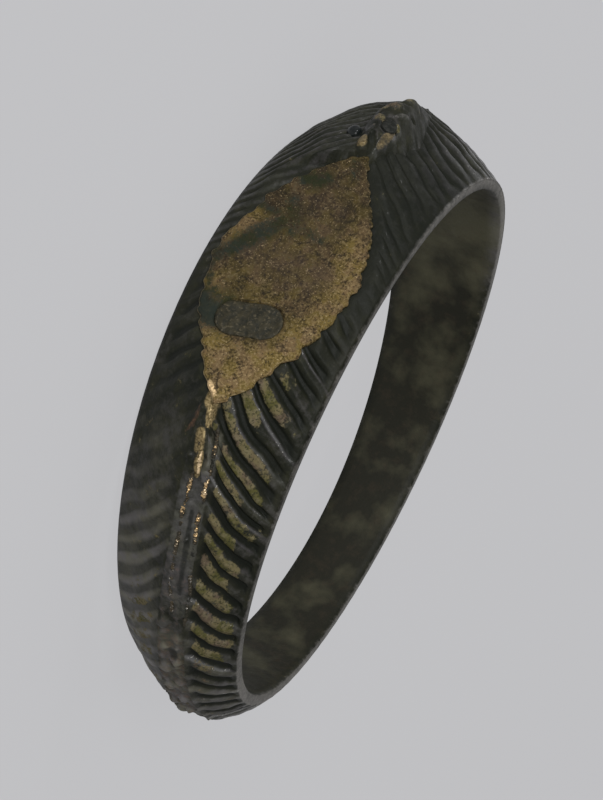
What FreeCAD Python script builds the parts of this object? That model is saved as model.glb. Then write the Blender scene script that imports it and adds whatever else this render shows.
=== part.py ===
import FreeCAD, Part
import math
import os

# A cast finger ring, lying on its side. The bore runs along Z, the bezel faces -Y, and a turn
# is an angle round the bore in degrees, zero at the bezel and growing towards +X.

# Hoop
bore_radius = 9.3
front_width = 5.96
back_width = 2.46
rim_wall = 0.4
shoulder_height = 2.15
brow_height = 2.0
lower_height = 1.4
upper_height = 1.3
back_height = 1.05
flank_swell = 0.08
brow_swell = 0.45
brow_swell_turns = (-85, -50, -28, 12)
lower_fall_turns = (36, 62)
brow_fall_turns = (-8, 12)
upper_fall_turns = (40, 68)
back_fall_turns = (95, 180)

# Ridge along the middle of the hoop: its half width, and how far it wanders to the upper rim
ridge_front_half = 0.12
ridge_lower_half = 0.52
ridge_back_half = 0.34
ridge_front_offset = -0.15
ridge_lower_offset = 0.24
ridge_lower_turns = (33, 48)
ridge_return_turns = (100, 170)
ridge_upper_turns = (45, 80)

# Herringbone ribs on both flanks
rib_count = 72
groove_depth = 0.24
field_groove_share = 0.4
field_groove_turns = (12, 28)
rib_rake = 43
rib_curl_share = 0.3
crest_turn_shares = (0.0, 0.52, 0.77)
crest_drop_shares = (0.0, 0.12, 1.0)
line_place_shares = (0.0, 0.45, 1.0)
line_depth_shares = (0.0, 1.0, 0.0)
rake_upper_turns = (-62, -18)
rake_lower_turns = (-90, -46)
rake_back_turns = (150, 210)

# Flat field of the bezel, with a thin facing let in flush
facet_height = 0.85
facet_turn = 5.5
plate_thickness = 0.15
field_head_reach = 4.5
field_end_skew = 30

# Fill let into the facing
fill_width = 1.3
fill_length = 0.95
fill_reach = 2.28
fill_rise = 0.12
fill_slant = 14

# Head at the upper end of the field
head_turns = (-16.5, -21, -26, -31, -38, -50)
head_height_shares = (0.76, 0.84, 0.94, 1.0, 0.9, 0.6)
head_width_shares = (0.34, 0.62, 0.92, 1.0, 0.86, 0.34)
head_height = 2.62
head_half_width = 1.35
head_offset = 0.08
head_cheek_drop = 0.66
head_cheek_share = 0.54
head_root = 0.9

# Eyes, each a bead in a drilled socket, the left one domed and the right one worn nearly flat
eye_left_turn = -23.6
eye_right_turn = -26.1
eye_left_height_share = 0.745
eye_right_height_share = 0.9
eye_left_side_share = -0.48
eye_right_side_share = 0.25
eye_left_aim_shares = (0.72, 0.3, -0.62)
eye_right_aim_shares = (0.94, 0.2, 0.28)
eye_radius = 0.28
eye_depth = 0.35
eye_left_dome = 0.14
eye_right_dome = 0.05
set_gap = 0.01

# Sides of each ring that the wires and the lumps are lofted through
ring_sides = 8

# Two beaded wires on the ridge of the lower shoulder
wire_turns = (37, 76)
wire_radius = 0.16
wire_waist_share = 0.72
wire_place_shares = (-0.33, 0.79)
beads_per_wire = 13

# Oval lumps on the ridge past the wires
lump_turns = (82, 86.5, 91, 96, 101, 106)
lump_radius = 0.26
lump_stretch_share = 1.5
lump_cut_share = 0.92
lump_rings = 5
lump_lean = 0.08

# One overrun for every cut
overrun = 1.0

full_turn = 360


def ease(value, start, end):
    """Smooth step from 0 to 1 between start and end."""
    share = min(max((value - start) / (end - start), 0), 1)
    return (1 - math.cos(math.pi * share)) / 2


def wrap(turn):
    """The same turn between minus and plus half a turn."""
    return (turn + full_turn / 2) % full_turn - full_turn / 2


def place(turn, radius, z):
    """Point at a turn round the bore, a radius from its axis and a height z along it."""
    angle = math.radians(turn)
    return FreeCAD.Vector(radius * math.sin(angle), -radius * math.cos(angle), z)


def outward(turn):
    return place(turn, 1, 0)


def along(turn):
    angle = math.radians(turn)
    return FreeCAD.Vector(math.cos(angle), math.sin(angle), 0)


def rim_z(turn):
    """Height of the upper rim plane over the outer edge of the rim."""
    middle = (front_width + back_width) / 4
    tilt = (front_width - back_width) / 4 / bore_radius
    return middle + tilt * (bore_radius + rim_wall) * math.cos(math.radians(turn))


def ridge_height(turn):
    """Metal over the bore along the ridge."""
    turn = wrap(turn)
    front_height = brow_height + (shoulder_height - brow_height) * ease(turn, *brow_fall_turns)
    side_height = upper_height if turn < 0 else lower_height
    fall_turns = upper_fall_turns if turn < 0 else lower_fall_turns
    side_fall = (front_height - side_height) * ease(abs(turn), *fall_turns)
    back_fall = (side_height - back_height) * ease(abs(turn), *back_fall_turns)
    return front_height - side_fall - back_fall


def along_ridge(turn, front, lower, back):
    """Blend of three sizes that the ridge has at the bezel, on the lower side and at the back."""
    turn = wrap(turn)
    if turn < 0:
        return front + (back - front) * ease(-turn, *ridge_upper_turns)
    size = front + (lower - front) * ease(turn, *ridge_lower_turns)
    return size + (back - size) * ease(turn, *ridge_return_turns)


def ridge_z(turn):
    return along_ridge(turn, ridge_front_offset, ridge_lower_offset, 0)


def ridge_half(turn):
    return along_ridge(turn, ridge_front_half, ridge_lower_half, ridge_back_half)


def rake_sense(turn, side):
    """1 where ribs lean with the turn, -1 where they lean against it."""
    front_turns = rake_upper_turns if side > 0 else rake_lower_turns
    turn = (turn - front_turns[0]) % full_turn + front_turns[0]
    front = ease(turn, *front_turns)
    back = ease(turn, *rake_back_turns)
    return 2 * front - 2 * back - 1


def swell(turn, side):
    """Height of a flank's middle over a straight slope, more on the lower flank beside the head."""
    rise_start, rise_end, fall_start, fall_end = brow_swell_turns
    if side > 0:
        return flank_swell
    share = ease(wrap(turn), rise_start, rise_end) - ease(wrap(turn), fall_start, fall_end)
    return flank_swell + (brow_swell - flank_swell) * share


def groove_share(turn):
    """Share of the full groove depth, which is less beside the field."""
    away = ease(abs(wrap(turn - facet_turn)), *field_groove_turns)
    return field_groove_share + (1 - field_groove_share) * away


def rib_line_points(turn, side, drop_share):
    """Points of one line of a rib, from the ridge out to the rim."""
    foot_radius = bore_radius + ridge_height(turn)
    rim_radius = bore_radius + rim_wall
    foot_z = ridge_z(turn) + side * ridge_half(turn)
    flank_width = rim_z(turn) - side * foot_z
    lean_length = flank_width * math.tan(math.radians(rib_rake)) * rake_sense(turn, side)
    lean = math.degrees(lean_length * 2 / (foot_radius + rim_radius))
    end_z = side * rim_z(turn + lean)
    points = []
    for share, depth_share in zip(line_place_shares, line_depth_shares):
        line_turn = turn + lean * ((1 + rib_curl_share) * share - rib_curl_share * share ** 2)
        rise = swell(line_turn, side) * 4 * share * (1 - share)
        depth = groove_depth * drop_share * depth_share * groove_share(line_turn)
        radius = foot_radius + (rim_radius - foot_radius) * share + rise - depth
        points.append(place(line_turn, radius, foot_z + (end_z - foot_z) * share))
    return points


def spline(points):
    curve = Part.BSplineCurve()
    curve.interpolate(points)
    return curve.toShape()


def ribbed_casting():
    """Keeled ring with herringbone ribs on both flanks, before the bore and the field."""
    upper_lines = []
    lower_lines = []
    pitch = full_turn / rib_count
    for rib in range(rib_count):
        for turn_share, drop_share in zip(crest_turn_shares, crest_drop_shares):
            turn = (rib + turn_share) * pitch
            upper_lines.append(rib_line_points(turn, 1, drop_share))
            lower_lines.append(rib_line_points(turn, -1, drop_share))
    faces = []
    for lines in (upper_lines, lower_lines):
        edges = [spline(points) for points in lines]
        for number, edge in enumerate(edges):
            faces.append(Part.makeRuledSurface(edges[number - 1], edge))
        rim = [points[-1] for points in lines]
        faces.append(Part.Face(Part.makePolygon(rim + rim[:1])))
    for number in range(len(upper_lines)):
        upper_foot = Part.makeLine(upper_lines[number - 1][0], upper_lines[number][0])
        lower_foot = Part.makeLine(lower_lines[number - 1][0], lower_lines[number][0])
        faces.append(Part.makeRuledSurface(upper_foot, lower_foot))
    skin = Part.Compound(faces)
    skin.sewShape()
    casting = Part.Solid(Part.Shell(skin.Faces))
    if casting.Volume < 0:
        casting.reverse()
    return casting


def bore():
    start = FreeCAD.Vector(0, 0, -front_width / 2 - overrun)
    return Part.makeCylinder(bore_radius, front_width + 2 * overrun, start)


def field_point(reach, z, radius):
    """Point over the field: reach runs along it from its middle, radius out from the bore."""
    return along(facet_turn) * reach + outward(facet_turn) * radius + FreeCAD.Vector(0, 0, z)


def field_block(low, high):
    """Block over the field, between two distances from the bore's axis."""
    half = front_width / 2 + overrun
    skew = half * math.tan(math.radians(field_end_skew))
    corners = [
        field_point(-field_head_reach - skew, half, low),
        field_point(bore_radius, half, low),
        field_point(bore_radius, -half, low),
        field_point(-field_head_reach + skew, -half, low),
    ]
    base = Part.Face(Part.makePolygon(corners + corners[:1]))
    return base.extrude(outward(facet_turn) * (high - low))


def head():
    """Raised head that looks along the field, lofted through arched sections."""
    sections = []
    for turn, height_share, width_share in zip(head_turns, head_height_shares, head_width_shares):
        top = bore_radius + head_height * height_share
        half = head_half_width * width_share
        cheek = top - head_cheek_drop * width_share
        root = bore_radius + head_root
        outline = spline([
            place(turn, root, head_offset - half),
            place(turn, cheek, head_offset - half * head_cheek_share),
            place(turn, top, head_offset),
            place(turn, cheek, head_offset + half * head_cheek_share),
            place(turn, root, head_offset + half),
        ])
        chord = Part.makeLine(outline.Vertexes[-1].Point, outline.Vertexes[0].Point)
        sections.append(Part.Wire([outline, chord]))
    return Part.makeLoft(sections, True, False)


def eye_frame(turn, height_share, side_share, aim_shares):
    """Middle of an eye on the head's surface, and the way that it looks."""
    radius = bore_radius + head_height * height_share
    middle = place(turn, radius, head_half_width * side_share)
    out_share, along_share, up_share = aim_shares
    axis = outward(turn) * out_share + along(turn) * along_share
    axis = (axis + FreeCAD.Vector(0, 0, up_share)).normalize()
    return middle, axis


def eye_socket(middle, axis):
    base = middle - axis * eye_depth
    return Part.makeCylinder(eye_radius + set_gap, eye_depth + overrun, base, axis)


def eye_bead(middle, axis, dome):
    """Bead that stands on the floor of its socket and ends in a dome over the head's surface."""
    base = middle - axis * (eye_depth - set_gap)
    height = eye_depth - set_gap + dome
    ball_radius = (eye_radius ** 2 + dome ** 2) / (2 * dome)
    ball = Part.makeSphere(ball_radius, base + axis * (height - ball_radius))
    return Part.makeCylinder(eye_radius, height, base, axis).common(ball)


def fill_block(low, high):
    """Round-ended bar across the field, between two distances from the bore's axis."""
    half = fill_width / 2
    slant = math.radians(fill_slant)
    run = FreeCAD.Vector(0, 0, -math.cos(slant)) + along(facet_turn) * math.sin(slant)
    across = run.cross(outward(facet_turn))
    top = field_point(fill_reach, fill_rise, low)
    foot = top + run * fill_length
    sides = [
        Part.makeLine(top + across * half, foot + across * half),
        Part.makeLine(foot - across * half, top - across * half),
    ]
    ends = [
        Part.Arc(foot + across * half, foot + run * half, foot - across * half).toShape(),
        Part.Arc(top - across * half, top - run * half, top + across * half).toShape(),
    ]
    outline = Part.Wire([sides[0], ends[0], sides[1], ends[1]])
    return Part.Face(outline).extrude(outward(facet_turn) * (high - low))


def bead_ring(middle, turn, radius):
    """Many-sided ring round a point, square to the ridge."""
    corners = []
    for side in range(ring_sides):
        angle = 2 * math.pi * side / ring_sides
        spoke = outward(turn) * math.cos(angle) + FreeCAD.Vector(0, 0, math.sin(angle))
        corners.append(middle + spoke * radius)
    return Part.makePolygon(corners + corners[:1])


def spine_wire(place_share):
    """Beaded wire along the ridge: rings of two sizes, joined by flat walls."""
    steps = 2 * beads_per_wire
    start, end = wire_turns
    rings = []
    for step in range(steps + 1):
        turn = start + (end - start) * step / steps
        radius = bore_radius + ridge_height(turn) + wire_radius + set_gap
        middle = place(turn, radius, ridge_z(turn) + ridge_lower_half * place_share)
        share = 1 if step % 2 else wire_waist_share
        rings.append(bead_ring(middle, turn, wire_radius * share))
    return Part.makeLoft(rings, True, True)


def ridge_lump(turn, side):
    """Oval lump along the ridge, half sunk in it, through rings whose size follows an ellipse."""
    middle = place(turn, bore_radius + ridge_height(turn), ridge_z(turn) + side * lump_lean)
    rings = []
    for step in range(lump_rings):
        share = lump_cut_share * (2 * step / (lump_rings - 1) - 1)
        radius = lump_radius * math.sqrt(1 - share ** 2)
        shift = along(turn) * lump_radius * lump_stretch_share * share
        rings.append(bead_ring(middle + shift, turn, radius))
    return Part.makeLoft(rings, True, True)


def export(name, shape):
    solids = shape.Solids
    print(name, "valid", shape.isValid(), "solids", len(solids), "volume", round(shape.Volume, 3))
    piece = solids[0] if len(solids) == 1 else Part.Compound(solids)
    piece.exportStep("parts/" + name + ".step")


os.makedirs("parts", exist_ok=True)

casting = ribbed_casting().cut(bore())

facet_radius = bore_radius + facet_height
seat_radius = facet_radius - plate_thickness
top_radius = bore_radius + head_height + overrun
facing = casting.common(field_block(seat_radius, facet_radius))
fill_region = fill_block(seat_radius - overrun, top_radius)
bezel_plate = facing.cut(fill_region)
bezel_fill = facing.common(fill_region)

left_eye = eye_frame(eye_left_turn, eye_left_height_share, eye_left_side_share, eye_left_aim_shares)
right_eye = eye_frame(eye_right_turn, eye_right_height_share, eye_right_side_share, eye_right_aim_shares)

hoop = casting.fuse(head())
for number, turn in enumerate(lump_turns):
    hoop = hoop.fuse(ridge_lump(turn, 1 if number % 2 else -1))
hoop = hoop.cut(field_block(seat_radius, top_radius))
hoop = hoop.cut(eye_socket(*left_eye))
hoop = hoop.cut(eye_socket(*right_eye))

export("hoop", hoop)
export("bezel_plate", bezel_plate)
export("bezel_fill", bezel_fill)
export("eye_bead_left", eye_bead(*left_eye, eye_left_dome))
export("eye_bead_right", eye_bead(*right_eye, eye_right_dome))
for name, place_share in zip(("left", "right"), wire_place_shares):
    export("spine_wire_" + name, spine_wire(place_share))
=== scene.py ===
import bpy
import math
import numpy as np
from mathutils import Matrix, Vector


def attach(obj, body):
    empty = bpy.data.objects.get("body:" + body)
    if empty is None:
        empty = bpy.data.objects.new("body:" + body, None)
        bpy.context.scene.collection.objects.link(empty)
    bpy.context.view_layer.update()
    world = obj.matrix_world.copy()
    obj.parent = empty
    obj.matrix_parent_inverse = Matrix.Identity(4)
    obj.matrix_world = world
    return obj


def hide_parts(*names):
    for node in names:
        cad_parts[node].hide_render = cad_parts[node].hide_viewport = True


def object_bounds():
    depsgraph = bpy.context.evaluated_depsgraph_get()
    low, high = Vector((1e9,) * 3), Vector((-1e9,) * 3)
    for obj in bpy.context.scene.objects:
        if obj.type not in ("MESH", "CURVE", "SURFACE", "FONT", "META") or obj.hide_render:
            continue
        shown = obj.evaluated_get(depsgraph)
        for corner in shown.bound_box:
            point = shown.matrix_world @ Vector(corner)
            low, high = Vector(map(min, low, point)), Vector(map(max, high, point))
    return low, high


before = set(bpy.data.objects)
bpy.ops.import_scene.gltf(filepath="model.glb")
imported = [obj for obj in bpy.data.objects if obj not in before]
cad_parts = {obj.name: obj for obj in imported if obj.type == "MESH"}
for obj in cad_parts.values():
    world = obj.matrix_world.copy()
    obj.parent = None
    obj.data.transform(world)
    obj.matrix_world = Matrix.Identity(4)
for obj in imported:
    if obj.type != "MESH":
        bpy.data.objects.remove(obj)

# A cast finger ring with a flat golden field, a small head with bead eyes and herringbone ribs.
# Shapes are worked out in millimetres. A turn is an angle round the bore in degrees, zero at the
# bezel and growing towards +X, and a side is 1 for the upper flank and -1 for the lower one. On a
# flank, a share runs from 0 at the ridge to 1 at the rim. A row of turns says where a change
# starts and ends.

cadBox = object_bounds()
metre = 0.001

# the ring's own sizes, the same as in the construction
ring = dict(
    bore=9.3, frontWidth=5.96, backWidth=2.46, rimWall=0.4,
    brow=2.0, shoulder=2.15, lower=1.4, upper=1.3, back=1.05,  # heights of the ridge
    browTurns=(-8, 12), upperTurns=(-40, -68), lowerTurns=(36, 62), backTurns=(95, 180),
    flankSwell=0.08, browSwell=0.45, browSwellTurns=(-85, -50, -28, 12),
    ribs=72, rake=43, curl=0.3, rakeTurns={1: (-62, -18), -1: (-90, -46)}, rakeBackTurns=(150, 210),
    facet=0.85, facetTurn=5.5, headReach=4.5, endSkew=30)
# the ridge's middle and half width in front, on the lower shoulder and behind
ridge = dict(z=(-0.15, 0.24, 0), half=(0.12, 0.52, 0.34),
             upperTurns=(-45, -80), lowerTurns=(33, 48), backTurns=(100, 170))
bore = ring["bore"]
rimRadius = bore + ring["rimWall"]
facetRadius = bore + ring["facet"]
skew = math.tan(math.radians(ring["endSkew"]))


def ease(value, start, end):
    # smooth step: half a cosine wave from 0 at start to 1 at end
    share = np.clip((value - start) / (end - start), 0, 1)
    return (1 - np.cos(np.pi * share)) / 2


def within(value, start, full, fading, end):
    # 1 from full to fading, easing in from start and out to end
    return ease(value, start, full) * (1 - ease(value, fading, end))


def steps(value, level, *changes):
    # a level with changes to it, and where each change starts and ends
    for change, start, end in changes:
        level = level + change * ease(value, start, end)
    return level


def wrapTurn(turn):
    return (turn + 180) % 360 - 180


def bell(value, middle, width):
    return np.exp(-((value - middle) / width) ** 2)


def most(*values):
    return np.maximum.reduce(np.broadcast_arrays(*values))


def strokeOn(first, second, start, end, half, narrow=0.0, edge=0.5):
    # 1 on a round-ended line from start to end on a plane, falling to 0 across its edge: distance
    # to the line, divided by a half width that narrows towards both ends
    run = np.subtract(end, start)
    offFirst, offSecond = first - start[0], second - start[1]
    share = np.clip((offFirst * run[0] + offSecond * run[1]) / (run @ run), 0, 1)
    away = np.hypot(offFirst - share * run[0], offSecond - share * run[1]) / half
    return 1 - ease(away / (1 - narrow * (2 * share - 1) ** 2), 1 - edge, 1 + edge)


def soften(values, width):
    # running mean over a few neighbours
    kernel = np.hanning(2 * width + 3)[1:-1]
    padded = np.concatenate([np.full(width, values[0]), values, np.full(width, values[-1])])
    return np.convolve(padded, kernel / kernel.sum(), mode="valid")


def place(turn, radius, z):
    # point at a turn round the bore, a radius from its axis and a height along it
    angle = np.radians(turn)
    return np.stack([radius * np.sin(angle), -radius * np.cos(angle), z + 0 * angle], -1)


def waves(points, size, seed, count=18):
    # soft random relief: a sum of waves in random directions, about one size from crest to crest,
    # with a mean of 0 and a spread of about 1
    random = np.random.default_rng(seed)
    total = np.zeros(points.shape[:-1])
    for wave in range(count):
        direction = random.normal(size=3)
        direction *= 2 * np.pi / (size * random.uniform(0.75, 1.6) * np.linalg.norm(direction))
        total += np.cos(points @ direction + random.uniform(0, 2 * np.pi))
    return total * math.sqrt(2 / count)


def bumps(points, *layers):
    # relief of several sizes: height, size and seed of each
    return sum(height * waves(points, size, seed) for height, size, seed in layers)


def rimZ(turn, radius=rimRadius):
    # height of the upper rim plane
    tilt = (ring["frontWidth"] - ring["backWidth"]) / 4 / bore
    return (ring["frontWidth"] + ring["backWidth"]) / 4 + tilt * radius * np.cos(np.radians(turn))


def ridgeHeight(turn):
    turn = wrapTurn(turn)
    front = ring["brow"] + (ring["shoulder"] - ring["brow"]) * ease(turn, *ring["browTurns"])
    side = np.where(turn < 0, ring["upper"], ring["lower"])
    fall = np.where(turn < 0, ease(turn, *ring["upperTurns"]), ease(turn, *ring["lowerTurns"]))
    return front - (front - side) * fall - (side - ring["back"]) * ease(np.abs(turn), *ring["backTurns"])


def alongRidge(turn, name):
    # the ridge's middle or half width, which passes from each of its values to the next
    turn = wrapTurn(turn)
    front, lower, back = ridge[name]
    onUpper = front + (back - front) * ease(turn, *ridge["upperTurns"])
    size = front + (lower - front) * ease(turn, *ridge["lowerTurns"])
    return np.where(turn < 0, onUpper, size + (back - size) * ease(turn, *ridge["backTurns"]))


def ridgeZ(turn):
    return alongRidge(turn, "z")


def ridgeHalf(turn):
    return alongRidge(turn, "half")


def flankStart(turn, side):
    return ridgeZ(turn) + side * ridgeHalf(turn)


def rakeSense(turn, side):
    # 1 where the ribs lean one way, -1 where they lean the other way
    start, end = ring["rakeTurns"][side]
    turn = (turn - start) % 360 + start
    return steps(turn, -1, (2, start, end), (-2, *ring["rakeBackTurns"]))


def swell(turn, side):
    if side > 0:
        return ring["flankSwell"]
    more = ring["browSwell"] - ring["flankSwell"]
    return ring["flankSwell"] + more * within(wrapTurn(turn), *ring["browSwellTurns"])


def ribLean(foot, side):
    # turn gained by a rib line from its foot on the ridge to the rim
    width = rimZ(foot) - side * flankStart(foot, side)
    run = width * math.tan(math.radians(ring["rake"])) * rakeSense(foot, side)
    return np.degrees(run * 2 / (bore + ridgeHeight(foot) + rimRadius))


def curled(share):
    # share of its lean that a rib line has gained
    return (1 + ring["curl"]) * share - ring["curl"] * share ** 2


def ribLine(foot, share, side):
    # turn, radius and z on a rib line, before its groove
    lean = ribLean(foot, side)
    turn = foot + lean * curled(share)
    footRadius = bore + ridgeHeight(foot)
    footZ = flankStart(foot, side)
    radius = footRadius + (rimRadius - footRadius) * share + swell(turn, side) * 4 * share * (1 - share)
    return turn, radius, footZ + (side * rimZ(foot + lean) - footZ) * share


def footUnder(turn, z, side, tries=16, follow=0.6):
    # the other way round: the rib line that runs through a place, found by repeated approach
    foot = turn + 0 * z
    for attempt in range(tries):
        footZ = flankStart(foot, side)
        lean = ribLean(foot, side)
        share = np.clip((z - footZ) / (side * rimZ(foot + lean) - footZ), 0, 1)
        foot = (1 - follow) * foot + follow * (turn - lean * curled(share))
    return foot, share


# The ribs: the grooves' place, its jitter and their floor as shares of the pitch, and by turn where
# they are fine and how deep they are.
rib = dict(
    depth=0.23, place=0.77, jitter=0.08, floor=0.16, ends=0.6, roundness=2.4, tilt=0.16,
    lines=3, lineDepth=0.045, strength=(0.8, 1.0), seed=11,
    fineTurns={1: (-120, -85, 0, 14), -1: (-120, -85, 4, 22)},
    wander=(0.25, 1.3, 21), relief=((0.008, 0.4, 22), (0.022, 1.6, 23)),
    deep={1: (0.36, (0.64, 3, 18), (-0.3, 84, 104), (0.22, -8, -26)),
          -1: (0.42, (0.2, 8, 24), (-0.42, 28, 42), (0.35, 120, 150), (0.35, -120, -150),
               (0.18, -8, -26), (-0.18, -100, -130))})


def ribProfile(foot, turn, share, side):
    # A leaf-shaped rounded band between two grooves. The place across the band runs from -1 to 1:
    # height = (1 - |place / width| ^ roundness) * (1 - tilt * (place + 0.5)), with a few fine lines
    # along it. Beside the head and the field there are two narrow ridges a rib instead:
    # height = |sin(pi * place)| ^ 0.8.
    random = np.random.default_rng(rib["seed"] + side)
    number = np.arange(-1, ring["ribs"] + 2)
    offsets = random.uniform(-rib["jitter"], rib["jitter"], ring["ribs"])[number % ring["ribs"]]
    grooves = (number + rib["place"] + offsets) * (360 / ring["ribs"])
    foot = foot % 360
    nextOne = np.clip(np.searchsorted(grooves, foot), 1, len(grooves) - 1)
    across = 2 * (foot - grooves[nextOne - 1]) / (grooves[nextOne] - grooves[nextOne - 1]) - 1
    own = (nextOne - 1) % ring["ribs"]
    strength = random.uniform(*rib["strength"], ring["ribs"])[own]
    phase = random.uniform(0, 2 * np.pi, ring["ribs"])[own]
    leaf = rib["ends"] + (1 - rib["ends"]) * np.sin(np.pi * np.clip(share * 0.86 + 0.07, 0, 1)) ** 0.8
    width = (1 - rib["floor"]) * leaf
    height = strength * (1 - np.clip(np.abs(across) / width, 0, 1) ** rib["roundness"])
    lines = rib["lineDepth"] * np.sin(np.pi * rib["lines"] * across + phase)
    height = height * (1 - rib["tilt"] * (across + 0.5) + lines)
    fine = within(wrapTurn(turn), *rib["fineTurns"][side])
    height = height * (1 - fine) + fine * np.abs(np.sin(np.pi * across)) ** 0.8
    return 1 - height, across, fine, own


def ribDepth(turn, share, side):
    # grooves start at once at the ridge, die out before the rim and are shallow beside the field
    deep = steps(wrapTurn(turn), *rib["deep"][side])
    return rib["depth"] * deep * ease(share, 0, 0.1) * (1 - 0.9 * ease(share, 0.8, 0.98))


def castingAt(foot, share, side):
    # turn, radius, z, groove share, place across the rib, fineness and rib number on the flank
    turn, radius, z = ribLine(foot, share, side)
    points = place(turn, radius, z)
    groove, across, fine, own = ribProfile(foot + bumps(points, rib["wander"]), turn, share, side)
    relief = bumps(points, *rib["relief"]) * within(share, 0, 0.1, 0.85, 1)
    return turn, radius - ribDepth(turn, share, side) * groove + relief, z, groove, across, fine, own


def underField(turn, radius, z, level, softness=0.025):
    # lowers what stands over the field: a soft minimum of the radius and the field's plane
    swing = np.radians(wrapTurn(turn - ring["facetTurn"]))
    inFront = np.abs(swing) < 1.1
    behind = radius * np.sin(swing) + ring["headReach"] + skew * z
    over = np.clip((radius - level / np.where(inFront, np.cos(swing), 1)) / softness, -40, 400)
    cut = softness * np.logaddexp(0, over)
    return radius - np.where(inFront, cut * ease(behind, -0.12, 0.02), 0)


def meshFromRings(name, rings, marks, closed):
    # Skin over rings of points, an array (along, round, 3) in millimetres. Each ring is a closed
    # loop; the first and last are capped, or joined to each other when closed.
    along, around = rings.shape[:2]
    index = np.arange(along * around).reshape(along, around)
    index = np.hstack([index, index[:, :1]])
    if closed:
        index = np.vstack([index, index[:1]])
    quads = np.stack([index[:-1, :-1], index[:-1, 1:], index[1:, 1:], index[1:, :-1]], -1).reshape(-1, 4)
    flat = rings.reshape(-1, 3)
    first, second, third, fourth = (flat[quads[:, corner]] for corner in range(4))
    volume = (np.einsum("ij,ij->i", first, np.cross(second, third))
              + np.einsum("ij,ij->i", first, np.cross(third, fourth))).sum()
    caps = [] if closed else [index[0, :-1][::-1], index[-1, :-1]]
    if volume < 0:
        quads = quads[:, ::-1]
        caps = [cap[::-1] for cap in caps]
    corners = np.concatenate([quads.ravel()] + caps)
    starts = [4 * np.arange(len(quads))]
    for number, cap in enumerate(caps):
        starts.append([4 * len(quads) + number * around])
    starts = np.concatenate(starts)
    mesh = bpy.data.meshes.new(name)
    mesh.vertices.add(len(flat))
    mesh.vertices.foreach_set("co", (flat * metre).ravel())
    mesh.loops.add(len(corners))
    mesh.loops.foreach_set("vertex_index", corners.astype(np.int32))
    mesh.polygons.add(len(starts))
    mesh.polygons.foreach_set("loop_start", starts.astype(np.int32))
    for mark, values in marks.items():
        layer = mesh.attributes.new(mark, "FLOAT", "POINT")
        layer.data.foreach_set("value", np.broadcast_to(values, rings.shape[:2]).ravel().astype(np.float32))
    mesh.update(calc_edges=True)
    mesh.validate()
    mesh.shade_smooth()
    return mesh


def addObject(name, data):
    thing = bpy.data.objects.new(name, data)
    bpy.context.scene.collection.objects.link(thing)
    return thing


def addPiece(name, rings, marks, material, slot, *nodes, closed=False):
    # a skin with its marks and material, and the parts of the construction that it stands for
    mesh = meshFromRings(name, rings, marks, closed)
    piece = addObject(name, mesh)
    mesh.materials.append(material)
    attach(piece, "root")
    if nodes:
        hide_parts(*nodes)
    print("made", name, len(mesh.polygons), "faces")


def addShell(name, top, under, marks, *finish):
    # rings over the top and back underneath, with the same marks on both
    rings = np.concatenate([top, under[:, ::-1]], axis=1)
    marks = {key: np.concatenate([value, value[:, ::-1]], axis=1) for key, value in marks.items()}
    addPiece(name, rings, marks, *finish)


class Number:
    # a socket that can be used in sums; each sum adds its Math node
    def __init__(self, paint, socket):
        self.paint = paint
        self.socket = socket

    def __add__(self, other):
        return self.paint.maths("ADD", self, other)

    def __radd__(self, other):
        return self.paint.maths("ADD", other, self)

    def __sub__(self, other):
        return self.paint.maths("SUBTRACT", self, other)

    def __rsub__(self, other):
        return self.paint.maths("SUBTRACT", other, self)

    def __mul__(self, other):
        return self.paint.maths("MULTIPLY", self, other)

    def __rmul__(self, other):
        return self.paint.maths("MULTIPLY", other, self)

    def swing(self, amount):
        # how far a noise is from its middle, times an amount
        return (self - 0.5) * amount

    def over(self, start, end):
        # 0 at start and 1 at end, straight between
        inputs = {"Value": self, "From Min": start, "From Max": end}
        node = self.paint.node("ShaderNodeMapRange", {"clamp": True}, inputs)
        return Number(self.paint, node.outputs["Result"])


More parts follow.
